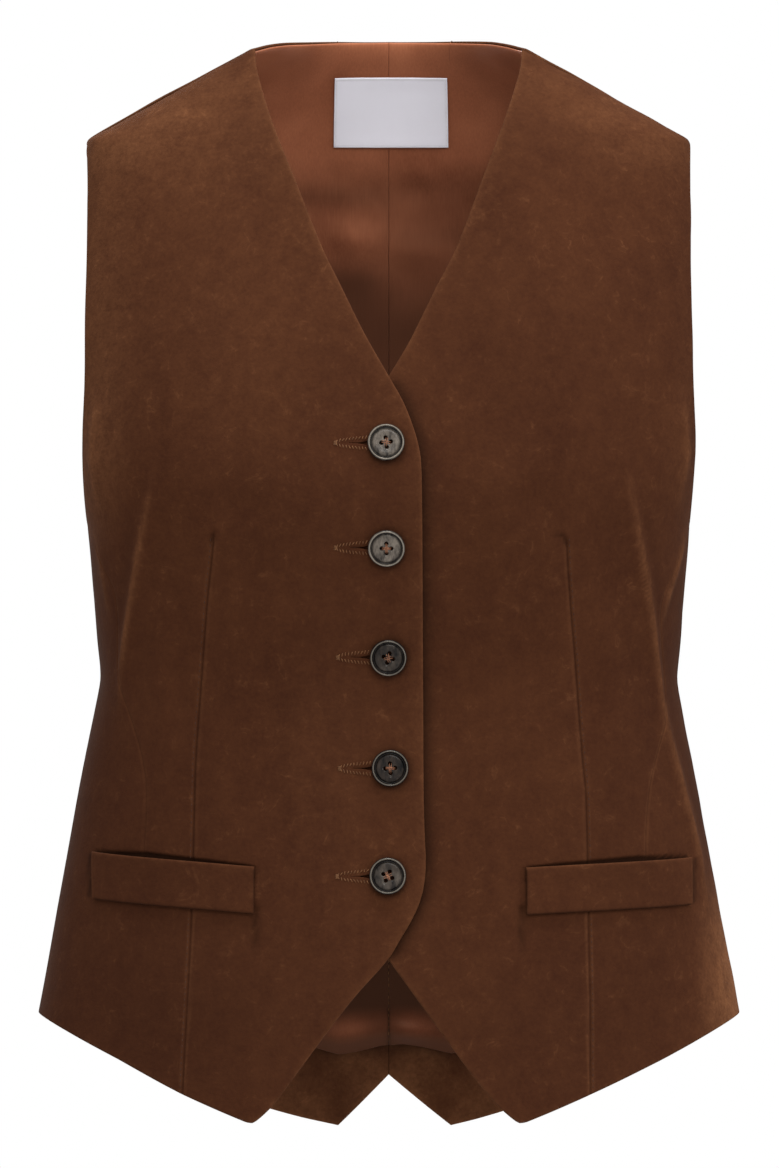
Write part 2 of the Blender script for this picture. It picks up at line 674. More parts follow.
def declare_sheet(piece, middle):
    """The flat size of a cloth piece, from its own middle surface."""
    across, up = lengths(middle, 1), lengths(middle, 0)
    cells = np.cross(middle[1:, 1:] - middle[:-1, :-1], middle[1:, :-1] - middle[:-1, 1:])
    area = np.linalg.norm(cells, axis=-1).sum() / 2 * MM * MM
    width, length = across[:, -1].max() * MM, up[-1].max() * MM
    area = min(area, width * length)
    print(f"{piece.name}: cut from {width * 1000:.0f} by {length * 1000:.0f} mm, {area:.4f} square metres")


def cloth_piece(node, slot, side, ahead, faces, materials, marks, roll=None):
    """Puts a panel on its side of the body, closes it into a shell and hands it over.

    ahead is 1 in front and -1 behind, and faces are its outer and its inner grid.
    """
    outer, inner = (grid * [side, 1, 1] for grid in faces)
    piece = shell(f"{node}_{slot}", outer, inner, side * ahead < 0, materials, marks, roll)
    finish(piece, node)
    declare_sheet(piece, (outer + inner) / 2)
    return piece


print("walls in mm: front", FRONT_WALL, "back", BACK_WALL, "lining", LINING_WALL, "facing", FACING_WALL)

# %% [markdown]
# A shader is a tree of small nodes. The helpers here add one node each and link it, so
# that a material below reads like a recipe: noise, a remap of its range, a mix of two
# colours, a mark that the mesh carries.

# %% Shader helpers
def node_material(name):
    material = bpy.data.materials.new(name)
    material.use_nodes = True
    tree = material.node_tree
    return material, tree, tree.nodes["Principled BSDF"]


def linear_channel(c):
    return c / 255 / 12.92 if c <= 10 else ((c / 255 + 0.055) / 1.055) ** 2.4


def linear(rgb):
    """A screen colour, 0 to 255, as the shader wants it."""
    return tuple(linear_channel(c) for c in rgb) + (1.0,)


def darker(rgb, shares):
    return [c * share for c, share in zip(rgb, shares)]


def add_node(tree, kind, values=None, links=None):
    node = tree.nodes.new(kind)
    for key, value in (values or {}).items():
        if isinstance(key, str) and hasattr(node, key):
            setattr(node, key, value)
        else:
            node.inputs[key].default_value = value
    for key, source in (links or {}).items():
        tree.links.new(source, node.inputs[key])
    return node


def noise(tree, place, scale, detail=3.0, rough=0.55):
    node = add_node(tree, "ShaderNodeTexNoise", {"Scale": scale, "Detail": detail, "Roughness": rough})
    tree.links.new(place, node.inputs["Vector"])
    return node.outputs["Fac"]


def remap(tree, value, low, high, to_low=0.0, to_high=1.0):
    node = add_node(tree, "ShaderNodeMapRange", {1: low, 2: high, 3: to_low, 4: to_high})
    tree.links.new(value, node.inputs[0])
    return node.outputs[0]


def math_node(tree, operation, a, b):
    node = add_node(tree, "ShaderNodeMath", {"operation": operation})
    for i, value in enumerate((a, b)):
        if isinstance(value, (int, float)):
            node.inputs[i].default_value = value
        else:
            tree.links.new(value, node.inputs[i])
    return node.outputs[0]


def colour_mix(tree, factor, a, b):
    node = add_node(tree, "ShaderNodeMix", {"data_type": "RGBA"})
    for socket, value in ((node.inputs[0], factor), (node.inputs[6], a), (node.inputs[7], b)):
        if isinstance(value, (tuple, float)):
            socket.default_value = value
        else:
            tree.links.new(value, socket)
    return node.outputs[2]


def mark(tree, key):
    return add_node(tree, "ShaderNodeAttribute", {"attribute_name": key}).outputs["Fac"]


def place_of(tree):
    return tree.nodes.new("ShaderNodeTexCoord").outputs["Object"]


def bump(tree, shader, height, distance, strength):
    node = add_node(tree, "ShaderNodeBump", {"Strength": strength, "Distance": distance})
    tree.links.new(height, node.inputs["Height"])
    tree.links.new(node.outputs[0], shader.inputs["Normal"])


def stretched(tree, place, scale):
    node = add_node(tree, "ShaderNodeMapping", {"Scale": scale})
    tree.links.new(place, node.inputs["Vector"])
    return node.outputs[0]


def weigh(tree, *parts):
    """The sum of several values, each times its weight."""
    total = None
    for value, weight in parts:
        share = math_node(tree, "MULTIPLY", value, weight)
        total = share if total is None else math_node(tree, "ADD", total, share)
    return total


print("mid grey on screen is", round(linear_channel(128), 3), "in the shader")

# %% [markdown]
# Suede is leather buffed to a short nap. Where the nap has been stroked the other way it
# looks lighter, so its colour wanders in soft patches of several sizes, and its fibres
# catch light at a grazing angle, which is what the sheen of the shader does. A fine bump
# gives the fibres. Seams collect shade and edges are rubbed lighter. The lining is satin,
# smooth and a little shiny, and the mark for shade darkens it between the fronts.

# %% Suede and satin
BRUSHED_DOWN = (0.72, 0.66, 0.66)  # share of the dark tone where the nap lies flat


def suede_material(name, dark, light, worn):
    material, tree, shader = node_material(name)
    place = place_of(tree)
    broad = remap(tree, noise(tree, place, 11, 3), 0.3, 0.7)
    streak = remap(tree, noise(tree, stretched(tree, place, (1, 1, 0.35)), 46, 4, 0.6), 0.3, 0.7)
    patch = remap(tree, noise(tree, place, 120, 4, 0.6), 0.3, 0.7)
    grain = remap(tree, noise(tree, place, 480, 3, 0.6), 0.3, 0.7)
    fibre = noise(tree, place, 2600, 2)
    nap = weigh(tree, (broad, 0.25), (streak, 0.25), (patch, 0.3), (grain, 0.2))
    colour = colour_mix(tree, nap, linear(dark), linear(light))
    # scuffs: thin wandering lines where the nap is brushed up
    wander = add_node(tree, "ShaderNodeTexNoise", {"Scale": 42.0, "Detail": 4.0, "Distortion": 1.6})
    tree.links.new(place, wander.inputs["Vector"])
    from_line = math_node(tree, "ABSOLUTE", math_node(tree, "SUBTRACT", wander.outputs["Fac"], 0.5), 0)
    line = remap(tree, from_line, 0.0, 0.022, 1.0, 0.0)
    scuff = math_node(tree, "MULTIPLY", line, remap(tree, patch, 0.5, 1.0, 0.0, 0.3))
    brushed = mark(tree, "nap")
    stroked_up = math_node(tree, "MAXIMUM", brushed, 0.0)
    up = weigh(tree, (stroked_up, 1.0), (scuff, 0.6), (mark(tree, "edge"), 0.55))
    mottled = remap(tree, weigh(tree, (patch, 0.6), (grain, 0.4)), 0.1, 0.9, 0.55, 1.25)
    up = math_node(tree, "MULTIPLY", up, mottled)
    colour = colour_mix(tree, up, colour, linear(worn))
    down = math_node(tree, "MAXIMUM", math_node(tree, "MULTIPLY", brushed, -1.0), 0.0)
    colour = colour_mix(tree, down, colour, linear(darker(dark, BRUSHED_DOWN)))
    shade = math_node(tree, "MULTIPLY", mark(tree, "seam"), 0.85)
    colour = colour_mix(tree, shade, colour, linear(darker(dark, [0.28] * 3)))
    tree.links.new(colour, shader.inputs["Base Color"])
    shader.inputs["Roughness"].default_value = 0.95
    shader.inputs["Specular IOR Level"].default_value = 0.03
    shader.inputs["Sheen Weight"].default_value = 0.05
    shader.inputs["Sheen Roughness"].default_value = 0.4
    shader.inputs["Sheen Tint"].default_value = linear(worn)
    bump(tree, shader, weigh(tree, (grain, 0.6), (fibre, 0.6)), 0.0004, 0.4)
    return material


def satin_material(name, dark, light):
    """Warp-faced lining: fine ribs, a soft shine and faint clouds."""
    material, tree, shader = node_material(name)
    place = place_of(tree)
    cloud = remap(tree, noise(tree, place, 22, 3), 0.3, 0.7)
    thread = remap(tree, noise(tree, stretched(tree, place, (1, 1, 0.06)), 1400, 2), 0.3, 0.7)
    colour = colour_mix(tree, weigh(tree, (cloud, 0.7), (thread, 0.3)), linear(dark), linear(light))
    shade = weigh(tree, (mark(tree, "seam"), 0.6), (mark(tree, "shade"), 1.0))
    colour = colour_mix(tree, shade, colour, linear(darker(dark, [0.42] * 3)))
    tree.links.new(colour, shader.inputs["Base Color"])
    shader.inputs["Roughness"].default_value = 0.38
    shader.inputs["Specular IOR Level"].default_value = 0.2
    shader.inputs["Specular Tint"].default_value = linear((235, 170, 130))
    rib = add_node(tree, "ShaderNodeTexWave", {"Scale": 900.0, "Distortion": 0.6, "Detail": 1.0})
    tree.links.new(place, rib.inputs["Vector"])
    bump(tree, shader, weigh(tree, (rib.outputs["Fac"], 0.3), (cloud, 1.0)), 0.0002, 0.25)
    return material


SUEDE = suede_material("brown_suede", (49, 25, 15), (69, 39.5, 23), (108, 70, 45))
SATIN = satin_material("copper_satin", (122, 70, 48), (158, 97, 69))
print("materials:", SUEDE.name, SATIN.name)

# %% [markdown]
# The fronts come next, and some of what is seen on them needs places first. Each row of
# the nap table brushes a soft oval patch of suede lighter or darker. The buttons stand in
# a row near the lap edge. The welts slant up towards the side, and the mouth of the pocket
# opens a little above each one.

# %% Places on the fronts
LAP_TUCK, LAP_LEVEL, LAP_END = FRONT_WALL + 0.4, 30.0, 78.0
DART_TOP, UNDERARM_TOP, POCKET_LINE = -266.0, -270.0, -446.0
TIP_ROUND, TIP_LIFT = 5.0, 1.0
# side, x, z, half width, half height, how far the nap is brushed up (or down, below 0)
hip_patch = (LEFT, 190, -506, 17, 50, 0.8)
nap_patches = [
    (RIGHT, 148, -56, 26, 11, 0.17), (RIGHT, 118, -36, 26, 11, 0.16), (RIGHT, 90, -19, 20, 9, 0.15),
    (LEFT, 148, -56, 26, 11, 0.16), (LEFT, 118, -36, 26, 11, 0.15), (LEFT, 90, -19, 20, 9, 0.14),
    (RIGHT, 120, -50, 62, 40, 0.15), (LEFT, 120, -50, 62, 40, 0.05),
    (RIGHT, 160, -150, 20, 95, 0.2), (LEFT, 162, -160, 14, 90, 0.06),
    (RIGHT, 160, -226, 12, 40, 0.25), (LEFT, 158, -226, 12, 40, 0.1), hip_patch,
    (RIGHT, 90, -160, 60, 70, 0.06), (RIGHT, 40, -400, 50, 90, 0.05), (RIGHT, 140, -420, 55, 110, -0.22),
    (LEFT, 95, -170, 80, 80, -0.08), (LEFT, 140, -505, 28, 46, -0.16), (RIGHT, 120, -530, 70, 50, -0.3),
    (LEFT, 80, -530, 60, 50, -0.14), (LEFT, 126, -420, 26, 60, -0.15), (LEFT, 156, -300, 30, 50, -0.1),
]


def brushed(table, side, x, z):
    """How far the nap is brushed up, over all patches of one side."""
    total = np.zeros_like(x)
    for patch_side, x0, z0, wide, high, amount in table:
        if patch_side == side:
            total += amount * np.exp(-(((x - x0) / wide) ** 2) - ((z - z0) / high) ** 2)
    return total


def seam_line(distance, width):
    return np.exp(-((distance / width) ** 2))


def tuck(x):
    """The left front lies deeper where the right one laps over it."""
    return -LAP_TUCK * (1 - ease(LAP_LEVEL, LAP_END, x))


# z, distance from the middle, turn in degrees, darkness of the horn
buttons = [
    (-218.0, -1.4, 8, 0.15), (-274.2, -1.2, 0, 0.1), (-333.2, -0.2, -14, 0.85),
    (-392.9, 0.8, 4, 1.1), (-450.8, -0.5, -24, 0.72),
]
BUTTON_RADIUS = 10.0
# inner end, outer end, height of the upper edge at the inner end and at the outer end
welts = {RIGHT: (72.0, 159.4, -445.8, -439.2), LEFT: (73.8, 163.0, -446.2, -442.4)}
WELT_HEIGHT, MOUTH_OPEN, MOUTH_PEAK = 25.6, 2.7, 0.68


def pocket_mouth(side, x, z):
    """How deep a place lies in the mouth of the pocket, above the welt's upper edge."""
    inner, outer_end, inner_top, outer_top = welts[side]
    along = np.clip((x - inner) / (outer_end - inner), 0, 1)
    rise = np.where(along < MOUTH_PEAK, along / MOUTH_PEAK, (1 - along) / (1 - MOUTH_PEAK))
    lip = MOUTH_OPEN * rise ** 0.7
    above = z - mix(inner_top, outer_top, along)
    return (1 - ease(-0.5, 0.5, above - lip)) * ease(-9, -7, above) * ease(0, 0.3, lip)


def welt_shade(side, x, z):
    """The thin shadow beside the outer end of the pocket welt, where it is sewn down."""
    inner, outer_end, inner_top, outer_top = welts[side]
    below = mix(inner_top, outer_top, (x - inner) / (outer_end - inner)) - z
    level = ease(-0.5, 2, below) * (1 - ease(WELT_HEIGHT - 2, WELT_HEIGHT + 0.5, below))
    return 0.6 * level * seam_line(x - outer_end - 2.6, 1.3)


print("nap patches:", len(nap_patches), "buttons:", len(buttons), "welts:", len(welts))

# %% [markdown]
# A front stands off the form by its folds and waves. Soft shadows that the light of a plain
# studio leaves out, such as those beside a button or under the lap, are marked here too.

# %% Relief and shade of the fronts
FRONT_SEED = {RIGHT: 4, LEFT: 9}
INSIDE_SHADE = 0.5  # of the satin inside the fronts
LAP_SHADE_START, LAP_SHADE_END = (-500, -490), (-187, -180)  # heights
SIDE_SHADE_TOP, SIDE_SHADE_LOW, SIDE_SHADE_WIDTH = (-295, -262), (-460, -410), 46


def front_lift(side, x, z):
    """How far the cloth of a front stands off the form."""
    lift = fold_relief(front_folds, side, x, z)[0] + unevenness(x, z, FRONT_SEED[side])
    return lift + tuck(x) if side == LEFT else lift


def on_front(side, x, z, out):
    """Points above the face of a front, and the directions straight out of it there."""
    q = q_of_x(x, z)
    normal, mirror = outward(q, z), np.array([side, 1, 1])
    return (form(q, z) + normal * (front_lift(side, x, z) + out)[..., None]) * mirror, normal * mirror


def lap_shade(x, z):
    """The soft shadow on the under front, beside the edge of the upper one."""
    beside = x + curve(front_edge, 1)(z)
    lapped = ease(*LAP_SHADE_START, z) * (1 - ease(*LAP_SHADE_END, z))
    return 0.7 * lapped * ease(-3, 0, beside) * np.exp(-((np.maximum(beside, 0) / 5) ** 1.5))


def button_shade(x, z):
    """The soft shadows that each button and the end of its cut lay on the upper front."""
    shade = np.zeros_like(x)
    for button_z, button_x, *_ in buttons:
        across, up = -x - button_x, z - button_z
        near = np.maximum(np.hypot(across - 0.7, up + 0.7) - BUTTON_RADIUS, 0)
        in_cut = ease(-15, -10, across) * (across < 0) * seam_line(up, 1.3)
        shade = np.maximum(shade, np.maximum(0.55 * np.exp(-near / 1.3), 0.7 * in_cut))
    return shade


def flat_front(side):
    """Places and outward directions of a front before its folds, and how close its darts are."""
    q, z, seams = front_grid(side)
    flat = form(q, z)
    from_tip = np.hypot(flat[..., 0] - flat[0, 0, 0], z - z[0, 0])
    z = z + TIP_LIFT * np.clip(1 - from_tip / TIP_ROUND, 0, 1) ** 2
    flat = form(q, z)
    across = lengths(flat, 1)
    from_dart, from_side = (np.abs(across - across[:, [seam]]) for seam in seams[1:3])
    return flat, outward(q, z), z, from_dart, from_side


def side_shade(to_side, side, z):
    """Below the armhole the cloth turns away to the side and looks darker there."""
    low = 1 - ease(*SIDE_SHADE_TOP, z)
    if side == LEFT:
        low = low * ease(*SIDE_SHADE_LOW, z)
    return 0.42 * low * seam_line(to_side, SIDE_SHADE_WIDTH)


print("the left front tucks in by", LAP_TUCK, "mm, and its deepest button shade is",
      round(float(button_shade(np.array([0.0]), np.array([buttons[0][0]])).max()), 2))

# %% [markdown]
# Each front is one piece of suede from shoulder to hem, shaped by a dart that points at the
# bust and by a second one that curves from the armhole to the pocket. The right front laps
# over the left one, so the left one runs a little deeper where they overlap. The face is
# lowered along the darts, in the mouth of the pocket and at the creases, and the same
# lines, a little apart, are marked as rubbed light or lying in shade.

# %% Fronts
DART_DEPTH, MOUTH_DEPTH = 0.6, 1.2
BELOW_WELT = (-474, -470)  # there the dart is pressed flatter and rubbed lighter
UNDERARM_PRESSED = {RIGHT: 0.8, LEFT: 1.3}
OPEN_EDGE = 40  # beside the armhole no seam is near


def dart_lines(side, z, from_dart, from_side):
    """Where the darts are sewn down, where they are rubbed light, and where they lie dark."""
    dart_run = 1 - ease(DART_TOP - 8, DART_TOP, z)
    side_run = (1 - ease(UNDERARM_TOP - 4, UNDERARM_TOP, z)) * ease(POCKET_LINE - 2, POCKET_LINE + 6, z)
    sewn = np.maximum(dart_run * seam_line(from_dart, 0.7), 0.6 * side_run * seam_line(from_side, 0.7))
    below = 1 - ease(*BELOW_WELT, z)
    pressed = dart_run * seam_line(from_dart - 1.4, 0.7) * (1 + below)
    pressed = pressed + UNDERARM_PRESSED[side] * side_run * seam_line(from_side - 0.8, 0.7)
    dart_dark = mix(0.42, 0.2, below) * dart_run * seam_line(from_dart, 0.5)
    return sewn, pressed, np.maximum(dart_dark, 0.12 * side_run * seam_line(from_side, 0.5))


def front_piece(side):
    flat, normal, z, from_dart, from_side = flat_front(side)
    x = flat[..., 0]
    sewn, pressed, dart_dark = dart_lines(side, z, from_dart, from_side)
    mouth, lift = pocket_mouth(side, x, z), front_lift(side, x, z)
    _, crest, valley = fold_relief(front_folds, side, x, z)
    deep, dark = crease_lines(side, x, z)
    outer = flat + normal * (lift - DART_DEPTH * sewn - MOUTH_DEPTH * mouth - deep)[..., None]
    inner = flat + normal * (lift - FRONT_WALL)[..., None]
    to_edge, to_side, to_hem, to_shoulder = border_distances(flat)
    beside_armhole = ease(UNDERARM, UNDERARM + 8, z)
    edge = 0.4 * np.exp(-np.minimum(to_edge, to_hem) / 0.8) + 0.2 * pressed + 0.85 * crest
    edge += 0.45 * beside_armhole * np.exp(-to_side / 0.8)
    sewn_border = 0.4 * np.exp(-np.minimum(to_side + OPEN_EDGE * beside_armhole, to_shoulder) / 0.8)
    overlap = button_shade(x, z) if side == RIGHT else lap_shade(x, z)
    shades = [dart_dark, sewn_border, 0.85 * mouth, 0.45 * dark, welt_shade(side, x, z), overlap]
    seam = np.maximum.reduce(shades)
    nap = brushed(nap_patches, side, x, z) + 0.1 * np.exp(-to_edge / 5) - 0.25 * valley
    nap -= side_shade(to_side, side, z)
    marks = {"edge": edge, "seam": seam, "nap": nap, "shade": np.full_like(seam, INSIDE_SHADE)}
    node = "front_" + SIDE_NAME[side]
    return cloth_piece(node, "suede", side, 1, (outer, inner), [SUEDE, SATIN], marks)


fronts = [front_piece(side) for side in (RIGHT, LEFT)]

# %% [markdown]
# The back is hidden in the photograph except for its inside. Outside it is plain suede in
# two halves with a seam down the middle. Inside, the satin lining covers it down to a
# little above the hem, and a suede facing turns up from the hem to meet it.

# %% Relief of the back and the lining
FACING_OUT = -(BACK_WALL + GAP)
LINING_OUT = FACING_OUT - FACING_WALL - GAP
FACING_HEIGHT, FACING_UNDERLAP = 40, 9.0
LINING_EDGE = 0.12  # radius of its rolled border
ARMHOLE_LEAN = 1.8
LEAN_ACROSS, LEAN_FROM, LEAN_TO = (125, 155), (-160, -120), (-66, -54)
WRINKLED_FROM, WRINKLED_TO = (-128, -104), (-58, -48)  # heights, seen between the fronts
BACK_SEED, LINING_SEED = {RIGHT: 21, LEFT: 25}, {RIGHT: 17, LEFT: 18}
# side, x, z, half width, half height, how far the nap is brushed up
back_nap = [
    (RIGHT, 104, -56, 66, 42, 0.3), (LEFT, 108, -54, 66, 42, 0.32), (RIGHT, 158, -180, 22, 90, 0.2),
    (LEFT, 158, -170, 20, 86, 0.16), (RIGHT, 90, -480, 60, 60, 0.24), (LEFT, 104, -450, 50, 70, -0.2),
    (RIGHT, 60, -330, 70, 46, -0.16), (LEFT, 50, -320, 70, 50, -0.12), (LEFT, 60, -540, 60, 40, 0.16),
    hip_patch,
]


def back_relief(side, x, z):
    """Folds and waves, which fade out at the middle seam, so that the two halves meet."""
    height, crest, valley = fold_relief(back_folds, side, x, z)
    from_middle = ease(0, 28, x)
    height += unevenness(x, z, BACK_SEED[side])
    # the back of the armhole leans in a little, behind the edge of the front
    height -= ARMHOLE_LEAN * ease(*LEAN_ACROSS, x) * ease(*LEAN_FROM, z) * (1 - ease(*LEAN_TO, z))
    return height * from_middle, crest * from_middle, valley * from_middle


LINING_ROLL, ROLL_ABOVE_HEM, ROLL_HEIGHT = 4.8, 8.0, 7.0


def lining_relief(side, x, z, above_hem):
    """Inner folds, and the spare length that rolls over above the lining's hem."""
    height = fold_relief(lining_folds, side, x, z)[0]
    sway = 1 + 0.2 * np.sin(side * x / 13 + 1.1) + 0.12 * np.sin(side * x / 6.1) - 0.4 * seam_line(x, 5)
    roll = LINING_ROLL * sway * np.exp(-(((above_hem - ROLL_ABOVE_HEM) / ROLL_HEIGHT) ** 2))
    wrinkled = ease(*WRINKLED_FROM, z) * (1 - ease(*WRINKLED_TO, z)) * ease(0, 9, x)
    height += 0.8 * wrinkled * unevenness(x * 4, z * 4, LINING_SEED[side])
    return back_relief(side, x, z)[0] + height - roll


print("the lining lies", round(-LINING_OUT, 1), "mm inside the back's outer face")

# %% [markdown]
# The two back halves come first, then the facings and the linings. The lining is longer
# than it needs to be, as in every good waistcoat, so that it doesn't pull when the back
# stretches. The spare length rolls over just above its hem and catches the light there.
# Further up, the lining is seen between the fronts, where it lies more and more in shade.

# %% Back, facing and lining
FACING_SEED, SEWN_GAP = 12, 0.12
# between the fronts: how the two sides blend, and the heights where the deep shade sets in
SIDES_BLEND, SHADE_RIGHT, SHADE_LEFT, SHADE_TOP = (-18, 14), (-126, -103), (-156, -100), (-74, -48)
PALE_FOLD_RIGHT, PALE_FOLD_LEFT = (-76, 7), (-100, 8)  # height, half width


def back_piece(side):
    q, z = back_grid(side)
    flat, normal = form(q, z), outward(q, z)
    x = flat[..., 0]
    lift, crest, valley = back_relief(side, x, z)
    outer = flat + normal * lift[..., None]
    inner = flat + normal * (lift - BACK_WALL)[..., None]
    to_middle, to_side, to_hem, to_top = border_distances(flat)
    pressed = seam_line(to_middle - 1.6, 0.8)
    beside_armhole = ease(UNDERARM, UNDERARM + 8, z)
    seam = np.exp(-np.minimum(to_middle, to_side + OPEN_EDGE * beside_armhole) / 0.6) * 0.5
    edge = 0.5 * np.exp(-np.minimum(to_hem, to_top) / 0.7) + 0.3 * pressed + 0.8 * crest
    edge += 0.45 * beside_armhole * np.exp(-to_side / 0.8)
    nap = brushed(back_nap, side, x, z) - 0.25 * valley - side_shade(to_side, side, z)
    marks = {"edge": edge, "seam": seam, "nap": nap}
    cloth_piece("back_" + SIDE_NAME[side], "suede", side, -1, (outer, inner), [SUEDE, SUEDE], marks)


def lining_shade(across, z, deepest):
    """Shade between the fronts: it sets in sooner on the wearer's right, below one pale fold."""
    on_left = ease(*SIDES_BLEND, across)
    deep = 1 - mix(ease(*SHADE_RIGHT, z), ease(*SHADE_LEFT, z), on_left)
    right, left = (seam_line(z - height, wide) for height, wide in (PALE_FOLD_RIGHT, PALE_FOLD_LEFT))
    folded = mix(0.3 + 0.26 * right, 0.44 + 0.12 * left, on_left)
    return mix(0.02 + folded * (1 - ease(*SHADE_TOP, z)), deepest, deep)


def roll_shade(side, x, to_hem):
    """The roll above the hem catches light in spots, so less of the deep shade is left there."""
    above_roll = to_hem - ROLL_ABOVE_HEM - 4.5
    on_roll = np.exp(-((above_roll / np.where(above_roll > 0, 7.5, 4.5)) ** 2))
    under_roll = 1 - ease(-5, 1, above_roll)
    spots = 0.75 + 0.25 * np.cos(side * x / 6 - 2.6)
    return (1 - 0.58 * on_roll * spots) * (1 - 0.1 * under_roll)


def lining_piece(side):
    q, z = back_grid(side, lining_hem)
    flat, normal = form(q, z), outward(q, z)
    x = flat[..., 0]
    to_middle, to_side, to_hem, to_top = border_distances(flat)
    lift = lining_relief(side, x, z, to_hem) + LINING_OUT
    sewn_on = np.exp(-np.minimum(to_top, to_side) / 2.5)
    lift = mix(lift, back_relief(side, x, z)[0] - BACK_WALL - SEWN_GAP, sewn_on)
    sag = 1.4 * np.sin(side * x / 11 + 0.6) * np.exp(-to_hem / 8) * ease(0, 8, x)
    outer = flat + normal * lift[..., None] + sag[..., None] * [0, 0, 1]
    inner = outer - normal * LINING_WALL
    low_part = 1 - ease(-470, -400, z)
    seam = np.exp(-to_middle / 0.6) * 0.6 * low_part
    shade = lining_shade(side * x, z, (0.9 + 0.14 * low_part) * roll_shade(side, x, to_hem))
    marks, behind = {"seam": seam, "shade": shade}, [f"back_{SIDE_NAME[side]}_suede"]
    node = "back_lining_" + SIDE_NAME[side]
    cloth_piece(node, "satin", side, -1, (outer, inner), [SATIN, SATIN], marks, LINING_EDGE)


def facing_piece(side):
    low_q, low_z = back_grid(side)
    high_q, high_z = back_grid(side, lining_hem)
    v = spread(12, FACING_HEIGHT, FACING_HEIGHT)[:, None]
    q = mix(low_q[0], high_q[0], v)
    z = mix(low_z[0], high_z[0] + FACING_UNDERLAP, v)
    flat, normal = form(q, z), outward(q, z)
    x = flat[..., 0]
    lift = back_relief(side, x, z)[0] + FACING_OUT
    outer = flat + normal * lift[..., None]
    inner = flat + normal * (lift - FACING_WALL)[..., None]
    to_middle, _, to_hem, _ = border_distances(flat)
    under_roll = 0.7 * np.exp(-np.maximum(high_z[0] - z, 0) / 4)
    seam = np.maximum(np.exp(-to_middle / 0.6) * 0.35, under_roll)
    nap = 0.3 + 0.25 * unevenness(x * 2.5, z * 2.5, FACING_SEED)
    marks = {"seam": seam, "edge": np.exp(-to_hem / 0.9) * 0.6, "nap": nap}
    node, behind = "back_facing_" + SIDE_NAME[side], [f"back_{SIDE_NAME[side]}_suede"]
    cloth_piece(node, "suede", side, -1, (outer, inner), [SUEDE, SUEDE], marks)


for make_piece in (back_piece, facing_piece, lining_piece):
    for side in (RIGHT, LEFT):
        make_piece(side)

# %% [markdown]
# A pocket welt is a folded strip of suede, sewn on along its lower edge and both ends. Its
# upper edge is the mouth of the pocket, so it stands off a little in the middle. Each welt
# is a small shell on the form, with a rolled edge like that of the fronts.

# %% Pocket welts
WELT_WALL, WELT_GAPE, WELT_EDGE = 2.2, 1.3, 0.9
WELT_LENGTH, WELT_LIFT, WELT_SEED = 90, 0.15, 31


def welt_piece(side):
    inner, outer_end, inner_top, outer_top = welts[side]
    u = spread(38, WELT_LENGTH, WELT_LENGTH)[None, :]
    v = spread(14, WELT_HEIGHT, WELT_HEIGHT)[:, None]
    ends = []
    for x, top in ((inner, inner_top), (outer_end, outer_top)):
        low_q, top_q = (q_of_x(np.float64(x), np.float64(height)) for height in (top - WELT_HEIGHT, top))
        ends.append(mix(low_q, top_q, v))
    q = mix(*ends, u)
    z = mix(inner_top, outer_top, u) - WELT_HEIGHT * (1 - v)
    flat, normal = form(q, z), outward(q, z)
    x = flat[..., 0]
    off = GAP + WELT_LIFT + WELT_GAPE * v**2 * np.sin(math.pi * u)
    off = off + front_lift(side, x, z)
    dart_x = curve(front_dart, SIDE_COLUMN[side])(z)
    shows = 0.35 * np.exp(-(((x - dart_x - 2) / 3) ** 2)) + 0.15 * unevenness(x * 3, z * 3, WELT_SEED)
    outer = flat + normal * (off + WELT_WALL + shows)[..., None]
    inner_face = flat + normal * off[..., None]
    borders = border_distances(flat)
    near, top_or_end = np.minimum.reduce(borders), np.minimum(borders[3], borders[1])
    edge = 0.35 * np.exp(-top_or_end / 1.2)
    sewn_down = 0.62 * np.exp(-near / 0.7) * (top_or_end > 2)
    marks = {"edge": edge, "seam": sewn_down, "nap": brushed(nap_patches, side, x, z)}
    node, under, faces = "welt_" + SIDE_NAME[side], [f"front_{SIDE_NAME[side]}_suede"], (outer, inner_face)
    cloth_piece(node, "suede", side, 1, faces, [SUEDE, SUEDE], marks, WELT_EDGE)


for side in (RIGHT, LEFT):
    welt_piece(side)

# %% [markdown]
# The neck label is a small woven rectangle, sewn to the lining with a few stitches at its
# ends. It is left blank: only the fine ribs of its weave and its folded edges show.

# %% Label
LABEL_LEFT, LABEL_RIGHT, LABEL_TOP, LABEL_BOTTOM = -31.2, 33.8, -8.6, -48.0
LABEL_WALL, LABEL_LIFT = 0.8, 0.9
LABEL_OUT = LINING_OUT - LINING_WALL - LABEL_LIFT
LABEL_BOW, LABEL_FOLD, LABEL_EDGE = 0.35, 1.2, 0.4
LABEL_WIDTH, LABEL_HEIGHT = 65, 39  # rounded, to space its grid
LINING_LOW = -560.0  # about the height of its hem, far below the label


def woven_material(name, ground, rib_colour):
    material, tree, shader = node_material(name)
    place = place_of(tree)
    rib = add_node(tree, "ShaderNodeTexWave", {"Scale": 700.0, "Distortion": 0.3, "bands_direction": "Z"})
    tree.links.new(place, rib.inputs["Vector"])
    cross = add_node(tree, "ShaderNodeTexWave", {"Scale": 620.0, "Distortion": 0.3, "bands_direction": "X"})
    tree.links.new(place, cross.inputs["Vector"])
    weave = math_node(tree, "MULTIPLY", rib.outputs["Fac"], cross.outputs["Fac"])
    colour = colour_mix(tree, weave, linear(rib_colour), linear(ground))
    rim = math_node(tree, "MULTIPLY", mark(tree, "edge"), 0.5)
    colour = colour_mix(tree, rim, colour, linear(darker(ground, [0.72] * 3)))
    tree.links.new(colour, shader.inputs["Base Color"])
    shader.inputs["Roughness"].default_value = 0.55
    shader.inputs["Sheen Weight"].default_value = 0.2
    bump(tree, shader, weave, 0.00015, 0.4)
    return material


LABEL_WHITE = woven_material("woven_white", (252, 250, 254), (228, 226, 236))


